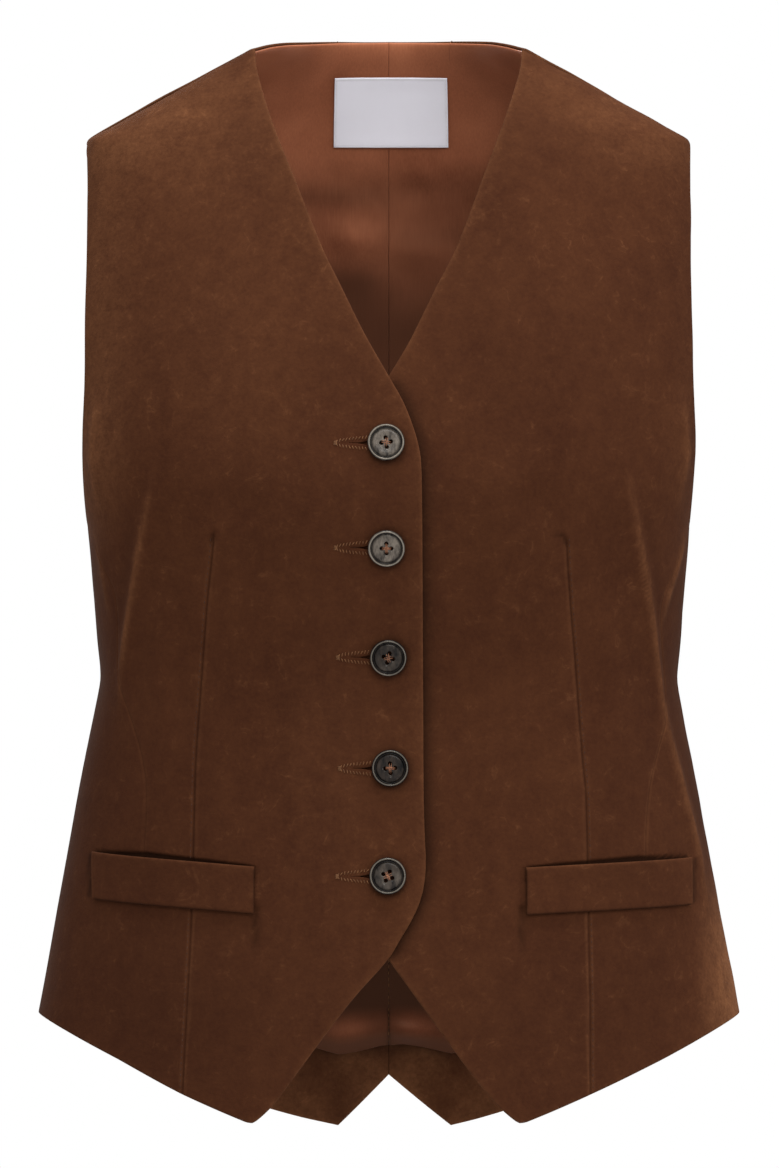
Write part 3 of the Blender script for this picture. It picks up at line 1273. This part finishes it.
def label_piece():
    u, v = spread(30, LABEL_WIDTH, LABEL_WIDTH)[None, :], spread(18, LABEL_HEIGHT, LABEL_HEIGHT)[:, None]
    x, z = np.broadcast_arrays(mix(LABEL_LEFT, LABEL_RIGHT, u), mix(LABEL_BOTTOM, LABEL_TOP, v))
    q = q_of_back_x(np.abs(x), z)
    flat, normal = form(q, z), outward(q, z)
    bow = LABEL_BOW * np.sin(math.pi * u) * (1 - v) ** 2
    under = np.where(x < 0, *(lining_relief(side, np.abs(x), z, z - LINING_LOW) for side in (RIGHT, LEFT)))
    outer = flat + normal * (LABEL_OUT + under - bow)[..., None]
    inner = outer - normal * LABEL_WALL
    for grid in (outer, inner):
        grid[..., 0] = np.where(x < 0, -grid[..., 0], grid[..., 0])
    near = np.minimum.reduce(border_distances(flat))
    marks = {"edge": np.exp(-np.abs(near - LABEL_FOLD) / 0.35), "seam": near * 0}
    piece = shell("label_woven", outer, inner, True, [LABEL_WHITE, LABEL_WHITE], marks, LABEL_EDGE)
    finish(piece, "label")
    declare_sheet(piece, (outer + inner) / 2)


label_piece()

# %% [markdown]
# Horn buttons are turned on a lathe: a raised rim, a groove inside it and a slightly dished
# face with four holes. Here the profile is spun round in the same way and the holes are
# bored with a boolean. No two pieces of horn are alike, so each button has its own tone
# between grey brown and nearly black, with streaks along the grain.

# %% Horn
BUTTON_LIFT = 0.25
HOLE_RADIUS, HOLE_CIRCLE = 1.1, 2.6
BUTTON_STEPS, HOLE_STEPS = 72, 20
# radius, height above the cloth
button_profile = [
    (0, 0), (6.9, 0), (8.2, 0.25), (9.3, 0.95), (9.85, 1.6), (BUTTON_RADIUS, 2.05), (9.9, 2.55),
    (9.65, 2.98), (9.38, 3.26), (9.1, 3.38), (8.85, 3.16), (8.7, 2.65), (8.55, 2.0),
    (8.3, 1.6), (8.0, 1.48), (7.7, 1.6), (7.4, 1.95), (7.0, 2.2), (6.5, 2.34), (5.4, 2.28),
    (3.8, 2.16), (2.0, 2.09), (0, 2.07),
]


def horn_material():
    material, tree, shader = node_material("horn")
    place = place_of(tree)
    streak = remap(tree, noise(tree, stretched(tree, place, (1, 1, 0.35)), 340, 5, 0.65), 0.34, 0.66)
    cloud = remap(tree, noise(tree, place, 120, 3), 0.35, 0.65)
    pale = colour_mix(tree, streak, linear((42, 38, 35)), linear((114, 105, 95)))
    dark = colour_mix(tree, streak, linear((4, 4, 5)), linear((46, 38, 32)))
    tone = math_node(tree, "ADD", mark(tree, "tone"), math_node(tree, "MULTIPLY", cloud, 0.25))
    tone = remap(tree, tone, 0.1, 1.05)
    colour = colour_mix(tree, tone, pale, dark)
    rim = math_node(tree, "MULTIPLY", mark(tree, "rim"), remap(tree, tone, 0.0, 1.0, 0.6, 0.34))
    colour = colour_mix(tree, rim, colour, linear((148, 139, 126)))
    ring = math_node(tree, "MULTIPLY", mark(tree, "groove"), 0.95)
    colour = colour_mix(tree, ring, colour, linear((6, 5, 5)))
    tree.links.new(colour, shader.inputs["Base Color"])
    shader.inputs["Roughness"].default_value = 0.2
    shader.inputs["Specular IOR Level"].default_value = 0.15
    bump(tree, shader, streak, 0.00015, 0.12)
    return material


HORN = horn_material()
print("button:", 2 * BUTTON_RADIUS, "mm across,", len(button_profile), "points in its profile")

# %% [markdown]
# Spinning a profile gives rings of points, joined by strips of faces and closed by a fan at
# each end. A cutter for a hole is spun in the same way. All of it is made flat and then
# set on the curved cloth by three directions: across, up and out.

# %% Turning and boring


def button_frame(x, z, out):
    """Right, up and outward directions at a button, and its place."""
    place, normal = on_front(RIGHT, np.float64(-x), np.float64(z), out)
    across = np.array([1.0, 0, 0]) - normal * normal[0]
    across /= np.linalg.norm(across)
    return across, np.cross(normal, across), normal, place


def to_world(points, axes):
    across, up, out, origin = axes
    points = np.asarray(points, float)
    return points[:, :1] * across + points[:, 1:2] * up + points[:, 2:] * out + origin


def spun(profile, steps):
    """A closed solid from a profile of radius and height, spun round its axis."""
    turn = np.arange(steps) / steps * 2 * math.pi
    rings = []
    for radius, height in profile[1:-1]:
        columns = [radius * np.cos(turn), radius * np.sin(turn), np.full(steps, height)]
        rings.append(np.column_stack(columns))
    points = np.concatenate([[(0, 0, profile[0][1])], *rings, [(0, 0, profile[-1][1])]])
    around = np.arange(steps)
    faces = [[0, 1 + (i + 1) % steps, 1 + i] for i in around]
    for k in range(len(rings) - 1):
        low, high = 1 + k * steps, 1 + (k + 1) * steps
        faces += [[low + i, low + (i + 1) % steps, high + (i + 1) % steps, high + i] for i in around]
    last, top = 1 + (len(rings) - 1) * steps, len(points) - 1
    faces += [[last + i, last + (i + 1) % steps, top] for i in around]
    return points, faces


def cut_away(piece, cutters):
    """Takes the cutters out of the piece and removes them."""
    group = bpy.data.collections.new("cutters")
    bpy.context.scene.collection.children.link(group)
    for cutter in cutters:
        bpy.context.scene.collection.objects.unlink(cutter)
        group.objects.link(cutter)
    cut = piece.modifiers.new("cut", "BOOLEAN")
    cut.operation, cut.solver, cut.operand_type, cut.collection = "DIFFERENCE", "EXACT", "COLLECTION", group
    depsgraph = bpy.context.evaluated_depsgraph_get()
    mesh = bpy.data.meshes.new_from_object(piece.evaluated_get(depsgraph))
    piece.modifiers.remove(cut)
    piece.data = mesh
    for cutter in cutters:
        bpy.data.objects.remove(cutter)
    bpy.data.collections.remove(group)


hole_profile = [(0, -1), (HOLE_RADIUS, -1), (HOLE_RADIUS, 1.75), (HOLE_RADIUS + 0.3, 2.4), (0, 2.4)]


def bores(spin, axes):
    """The cutters for the four holes."""
    cutters = []
    for k in range(4):
        side = np.array([math.cos(k * math.pi / 2), math.sin(k * math.pi / 2), 0]) * HOLE_CIRCLE
        points, faces = spun(hole_profile, HOLE_STEPS)
        cutters.append(mesh_object("bore", to_world((points + side) @ spin, axes), faces, [HORN]))
    return cutters


def button_piece(number, z, x, turn, tone):
    axes = button_frame(x, z, GAP + BUTTON_LIFT)
    points, faces = spun(button_profile, BUTTON_STEPS)
    cos, sin = math.cos(math.radians(turn)), math.sin(math.radians(turn))
    spin = np.array([[cos, sin, 0], [-sin, cos, 0], [0, 0, 1]])
    piece = mesh_object(f"button_{number}_horn", to_world(points @ spin, axes), faces, [HORN])
    cut_away(piece, bores(spin, axes))
    mesh = piece.data
    place = np.empty(len(mesh.vertices) * 3)
    mesh.vertices.foreach_get("co", place)
    local = (place.reshape(-1, 3) / MM - axes[3]) @ np.stack(axes[:3], 1)
    radius = np.hypot(local[:, 0], local[:, 1])
    face = local[:, 2] > 1
    groove = np.maximum(np.exp(-(((radius - 8.15) / 0.6) ** 2)) * face, 0.8 * ease(9.5, 9.8, radius))
    rim = np.exp(-(((radius - 9.15) / 0.3) ** 2)) * face
    set_marks(mesh, {"tone": np.full(len(radius), tone), "groove": groove, "rim": rim})
    finish(piece, f"button_{number}")
    print(f"{piece.name}: {len(mesh.polygons)} faces")


for i, row in enumerate(buttons):
    button_piece(i + 1, *row)

# %% [markdown]
# A buttonhole in suede is a cut, worked round with thread. The pull of the button opens it
# into a narrow wedge. The cuts are taken out of the right front with a boolean, right
# through, so the shade inside them is real.

# %% Buttonhole cuts
HOLE_TAIL, HOLE_OPEN = 20.0, 1.5
CUT_UNDER, CUT_OVER = 1.5, 2.5  # how far the cutter stands out of the cloth on each side
# along the cut from the button's middle, half the opening
cut_outline = [(-HOLE_TAIL, 0.06), (-15.5, 0.16), (-12.5, 0.6), (-9, HOLE_OPEN), (-2, 1.7), (1.5, 0.9)]


def cut_shape(z, x):
    axes = button_frame(x, z, 0)
    ring = cut_outline + [(a, -b) for a, b in reversed(cut_outline)]
    count = len(ring)
    points = [(a, b, -FRONT_WALL - CUT_UNDER) for a, b in ring] + [(a, b, CUT_OVER) for a, b in ring]
    faces = [list(range(count)), list(range(2 * count - 1, count - 1, -1))]
    faces += [[i, i + count, (i + 1) % count + count, (i + 1) % count] for i in range(count)]
    return mesh_object("cut", to_world(points, axes), faces, [SUEDE])


faces_before = len(fronts[0].data.polygons)
cut_away(fronts[0], [cut_shape(z, x) for z, x, *_ in buttons])
print("front_right_suede faces:", faces_before, "to", len(fronts[0].data.polygons))

# %% [markdown]
# Stitches repeat along a line, so Geometry Nodes lay them. The line is a mesh of edges with
# two vectors on each point: outward from the cloth, and along the stitch. The tree walks
# along it in equal steps, sets a short round bar of thread on each, jitters it a little with
# a fixed seed, and turns everything into real mesh with a thread material.

# %% Threads and the tree of stitches
STITCH_SEED = 7
THREAD_COLOURS = {
    "copper_thread": ((66, 40, 21), (112, 74, 43)), "button_thread": ((72, 42, 28), (146, 98, 70)),
    "dark_thread": ((34, 18, 11), (58, 32, 20)), "white_thread": ((200, 198, 204), (236, 234, 240)),
}


def thread_material(name, dark, light):
    material, tree, shader = node_material(name)
    place = place_of(tree)
    twist = noise(tree, place, 1500, 3)
    colour = colour_mix(tree, remap(tree, twist, 0.35, 0.65), linear(dark), linear(light))
    tree.links.new(colour, shader.inputs["Base Color"])
    shader.inputs["Roughness"].default_value = 0.6
    shader.inputs["Specular IOR Level"].default_value = 0.2
    bump(tree, shader, twist, 0.0002, 0.4)
    return material


threads = {name: thread_material(name, *pair) for name, pair in THREAD_COLOURS.items()}


def stitch_tree(material):
    tree = bpy.data.node_groups.new("stitches", "GeometryNodeTree")
    face = tree.interface
    face.new_socket("Geometry", in_out="INPUT", socket_type="NodeSocketGeometry")
    sizes = {}
    for name in ("Pitch", "Length", "Thickness", "Jitter"):
        sizes[name] = face.new_socket(name, in_out="INPUT", socket_type="NodeSocketFloat").identifier
    face.new_socket("Geometry", in_out="OUTPUT", socket_type="NodeSocketGeometry")

    def node(kind, **settings):
        made = tree.nodes.new(kind)
        for key, value in settings.items():
            setattr(made, key, value)
        return made

    def link(source, target):
        tree.links.new(source, target)

    start, end = node("NodeGroupInput"), node("NodeGroupOutput")
    path = node("GeometryNodeMeshToCurve")
    steps = node("GeometryNodeResampleCurve", mode="LENGTH")
    link(start.outputs["Geometry"], path.inputs["Mesh"])
    link(path.outputs[0], steps.inputs["Curve"])
    link(start.outputs["Pitch"], steps.inputs["Length"])
    bar = node("GeometryNodeMeshUVSphere")
    bar.inputs["Segments"].default_value = 8
    bar.inputs["Rings"].default_value = 6
    bar.inputs["Radius"].default_value = 0.5
    size = node("ShaderNodeCombineXYZ")
    link(start.outputs["Length"], size.inputs[0])
    link(start.outputs["Thickness"], size.inputs[1])
    link(start.outputs["Thickness"], size.inputs[2])
    stretch = node("GeometryNodeTransform")
    link(bar.outputs["Mesh"], stretch.inputs["Geometry"])
    link(size.outputs[0], stretch.inputs["Scale"])
    out = node("GeometryNodeInputNamedAttribute", data_type="FLOAT_VECTOR")
    out.inputs["Name"].default_value = "outward"
    lay = node("GeometryNodeInputNamedAttribute", data_type="FLOAT_VECTOR")
    lay.inputs["Name"].default_value = "stitch"
    spin = node("FunctionNodeRandomValue", data_type="FLOAT_VECTOR")
    spin.inputs["Seed"].default_value = STITCH_SEED
    scaled = node("ShaderNodeVectorMath", operation="SCALE")
    shake = node("ShaderNodeVectorMath", operation="ADD")
    spin.inputs["Min"].default_value = (-1, -1, -1)
    spin.inputs["Max"].default_value = (1, 1, 1)
    link(spin.outputs[0], scaled.inputs[0])
    link(start.outputs["Jitter"], scaled.inputs["Scale"])
    link(lay.outputs[0], shake.inputs[0])
    link(scaled.outputs[0], shake.inputs[1])
    turn = node("FunctionNodeAxesToRotation", primary_axis="Z", secondary_axis="X")
    link(out.outputs[0], turn.inputs[0])
    link(shake.outputs[0], turn.inputs[1])
    place = node("GeometryNodeInstanceOnPoints")
    link(steps.outputs[0], place.inputs["Points"])
    link(stretch.outputs[0], place.inputs["Instance"])
    link(turn.outputs[0], place.inputs["Rotation"])
    real = node("GeometryNodeRealizeInstances")
    link(place.outputs[0], real.inputs[0])
    smooth = node("GeometryNodeSetShadeSmooth")
    link(real.outputs[0], smooth.inputs["Geometry"])
    paint = node("GeometryNodeSetMaterial")
    paint.inputs["Material"].default_value = material
    link(smooth.outputs[0], paint.inputs["Geometry"])
    link(paint.outputs[0], end.inputs["Geometry"])
    return tree, sizes


print("threads:", ", ".join(threads))

# %% [markdown]
# A row of stitches is that line with the tree as a modifier on it. Its sizes are set by the
# identifiers of the tree's inputs, the result is turned into a plain mesh, and the line is
# removed. The buttonholes are worked along both sides of the cut, wider near the button.

# %% Rows of stitches
# pitch, length, thickness, jitter, thread
STITCH_KINDS = {
    "buttonhole_stitches": (1.65, 2.2, 0.6, 0.3, "copper_thread"),
    "buttonhole_tacks": (0.55, 2.4, 0.55, 0.15, "copper_thread"),
    "button_threads": (0.5, 5.6, 0.42, 0.08, "button_thread"),
    "dart_stitches": (3.1, 1.4, 0.4, 0.1, "dark_thread"),
    "lining_stitches": (3.4, 2.4, 0.4, 0.1, "copper_thread"),
    "label_stitches": (2.6, 1.6, 0.3, 0.1, "white_thread"),
}


def stitch_rows(name, rows):
    """rows: for each line of stitches its points, outward vectors and stitch directions."""
    pitch, length, thickness, jitter, thread = STITCH_KINDS[name]
    points = np.concatenate([row[0] for row in rows])
    edges, first = [], 0
    for row in rows:
        edges += [(first + i, first + i + 1) for i in range(len(row[0]) - 1)]
        first += len(row[0])
    mesh = bpy.data.meshes.new(name + "_line")
    mesh.from_pydata((points * MM).tolist(), edges, [])
    for key, column in (("outward", 1), ("stitch", 2)):
        vectors = np.concatenate([np.broadcast_to(row[column], row[0].shape) for row in rows])
        mesh.attributes.new(key, "FLOAT_VECTOR", "POINT").data.foreach_set("vector", vectors.ravel())
    line = bpy.data.objects.new(name + "_line", mesh)
    bpy.context.scene.collection.objects.link(line)
    tree, sizes = stitch_tree(threads[thread])
    layer = line.modifiers.new("stitches", "NODES")
    layer.node_group = tree
    values = {"Pitch": pitch * MM, "Length": length * MM, "Thickness": thickness * MM, "Jitter": jitter}
    for key, value in values.items():
        layer[sizes[key]] = value
    depsgraph = bpy.context.evaluated_depsgraph_get()
    made = bpy.data.meshes.new_from_object(line.evaluated_get(depsgraph))
    made.name = name
    piece = bpy.data.objects.new(name, made)
    bpy.context.scene.collection.objects.link(piece)
    bpy.data.objects.remove(line)
    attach(piece, "root")
    print(f"{name}: {len(made.polygons)} faces")


STITCH_RUN = (-26.5, -9.0)  # from the button's middle
STITCH_SPREAD = (0.8, 3.2)  # from the cut, at the outer end and near the button
STITCH_OUT = 0.2


def buttonhole_rows(z, x):
    """Two rows of stitches that open towards the button."""
    along = np.linspace(*STITCH_RUN, 30)
    share = (along - STITCH_RUN[0]) / (STITCH_RUN[1] - STITCH_RUN[0])
    rows = []
    for sign in (1, -1):
        line, out = on_front(RIGHT, -(x + along), z + sign * mix(*STITCH_SPREAD, share**0.6), STITCH_OUT)
        rows.append((line, out, np.array([0.4 * sign, 0, 1])))
    return rows


rows = [row for z, x, *_ in buttons for row in buttonhole_rows(z, x)]
stitch_rows("buttonhole_stitches", rows)

# %% [markdown]
# The same tree lays the tacks at the end of each buttonhole and the strands through the
# holes of the buttons, from hole to hole across the middle. It also lays the small stitches
# that hold down the darts, the seam of the lining and the two ends of the label.

# %% Tacks, button threads and seams
TACK, TACK_HALF = 27.2, 0.9  # from the button's middle, and half the length of the bar
rows = []
for z, x, *_ in buttons:
    ends = np.array([-TACK_HALF, TACK_HALF])
    line, out = on_front(RIGHT, TACK - x + 0 * ends, z + ends, STITCH_OUT)
    rows.append((line, out, np.array([1, 0, 0])))
stitch_rows("buttonhole_tacks", rows)

rows = []
THREAD_HEIGHT = GAP + BUTTON_LIFT + 2.25
for z, x, turn, _ in buttons:
    across, up, out, origin = button_frame(x, z, THREAD_HEIGHT)
    angle = math.radians(turn)
    one = math.cos(angle) * across - math.sin(angle) * up
    two = math.sin(angle) * across + math.cos(angle) * up
    for direction, beside in ((one, two), (two, one)):
        line = np.stack([origin - 0.5 * beside, origin + 0.5 * beside])
        rows.append((line, out, direction))
stitch_rows("button_threads", rows)

DART_RUNS = [(-270, -441), (-474, -564)]  # above and below the welt
BESIDE_DART = 1.3
LINING_SEAM = (-498, -549)
rows = []
for side in (RIGHT, LEFT):
    for top, bottom in DART_RUNS:
        z = np.linspace(top, bottom, 60)
        line, out = on_front(side, curve(front_dart, SIDE_COLUMN[side])(z) + BESIDE_DART, z, 0)
        rows.append((line, out, np.array([0, 0, 1])))
stitch_rows("dart_stitches", rows)

z = np.linspace(*LINING_SEAM, 40)
normal = outward(BACK_MIDDLE, z)
lift = lining_relief(LEFT, z * 0, z, z - lining_hem[0]) + LINING_OUT - LINING_WALL
row = (form(BACK_MIDDLE, z) + normal * lift[:, None], -normal, np.array([0, 0, 1]))
stitch_rows("lining_stitches", [row])

rows = []
for side, end in ((RIGHT, LABEL_LEFT + 1), (LEFT, LABEL_RIGHT - 1)):
    z = np.linspace(LABEL_TOP - 1.5, LABEL_BOTTOM + 1.5, 20)
    x = np.full_like(z, abs(end))
    q = q_of_back_x(x, z)
    normal, mirror = outward(q, z), np.array([side, 1, 1])
    lift = LABEL_OUT - LABEL_WALL + lining_relief(side, x, z, z - LINING_LOW)
    rows.append(((form(q, z) + normal * lift[:, None]) * mirror, -normal * mirror, np.array([0, 0, 1])))
stitch_rows("label_stitches", rows)

# %% [markdown]
# The camera stands level, in front of the middle of the waistcoat and far away, so that the
# outline is nearly that of a plan. The light is a plain studio: a white room, a large soft
# light above, a weaker one in front, a narrow one at the right of the picture, and one
# behind, which reaches the back and the tops of the shoulders. The floor is plain and pale.

# %% Camera, light and floor
PIXEL = 0.55 * MM
CAMERA_DISTANCE = 4.5
PHOTO_HEIGHT, NECK_ROW, MIDDLE_SHIFT = 1168, 50, 0.8  # in pixels of the photograph
FIELD_HEIGHT = PHOTO_HEIGHT * PIXEL
SENSOR = 36
camera = bpy.data.objects.new("camera", bpy.data.cameras.new("camera"))
camera.data.sensor_width = SENSOR
camera.data.lens = SENSOR * CAMERA_DISTANCE / FIELD_HEIGHT
camera.location = (MIDDLE_SHIFT * PIXEL, -CAMERA_DISTANCE, -(PHOTO_HEIGHT / 2 - NECK_ROW) * PIXEL)
camera.rotation_euler = (math.pi / 2, 0, 0)
camera.data.clip_end = 100
bpy.context.scene.collection.objects.link(camera)
bpy.context.scene.camera = camera

# name, place, aimed at, width, height, power
lights = [
    ("top_light", (0.1, -0.5, 2.4), (0, 0, -0.2), 1.4, 0.9, 85),
    ("front_light", (0.5, -2.5, 1.3), (0, 0, -0.3), 1.6, 1.0, 30),
    ("right_light", (2.0, -0.9, 0.1), (0, 0, -0.45), 0.35, 1.4, 15),
    ("back_light", (-1.1, 2.4, 0.9), (0, 0, -0.3), 1.0, 1.2, 28),
]
for name, place, target, width, height, power in lights:
    lamp = bpy.data.lights.new(name, "AREA")
    lamp.shape, lamp.size, lamp.size_y, lamp.energy = "RECTANGLE", width, height, power
    light = bpy.data.objects.new(name, lamp)
    light.location = place
    aim = np.subtract(target, place)
    light.rotation_euler = (math.atan2(math.hypot(aim[0], aim[1]), -aim[2]), 0, math.atan2(-aim[0], aim[1]))
    bpy.context.scene.collection.objects.link(light)

# The room is white down to a little below the horizon, and dim under that, where the floor
# takes over.
ROOM_WHITE, ROOM_DIM = 1.0, 0.2
WHITE_ABOVE, DIM_BELOW = -0.12, -0.3
world = bpy.data.worlds.new("white_room")
world.use_nodes = True
room = world.node_tree
height = add_node(room, "ShaderNodeSeparateXYZ")
room.links.new(room.nodes.new("ShaderNodeTexCoord").outputs["Generated"], height.inputs[0])
glow = remap(room, height.outputs["Z"], DIM_BELOW, WHITE_ABOVE, ROOM_DIM, ROOM_WHITE)
room.links.new(glow, room.nodes["Background"].inputs["Strength"])
room.nodes["Background"].inputs["Color"].default_value = (1, 1, 1, 1)
bpy.context.scene.world = world
bpy.context.scene.view_settings.view_transform = "Standard"

FLOOR_HEIGHT, FLOOR_RADIUS, FLOOR_SIDES = -0.95, 3.6, 96
turn = np.arange(FLOOR_SIDES) / FLOOR_SIDES * 2 * math.pi
ring = np.column_stack([np.cos(turn), np.sin(turn), turn * 0]) * FLOOR_RADIUS
floor_points = (ring + [0, 0, FLOOR_HEIGHT]) / MM
floor_material, _, floor_shader = node_material("pale_floor")
floor_shader.inputs["Base Color"].default_value = (0.5, 0.5, 0.5, 1)
floor_shader.inputs["Roughness"].default_value = 0.95
floor = mesh_object("floor", floor_points, [list(range(FLOOR_SIDES))], [floor_material])
print("camera lens:", round(camera.data.lens, 1), "mm, lights:", len(lights))
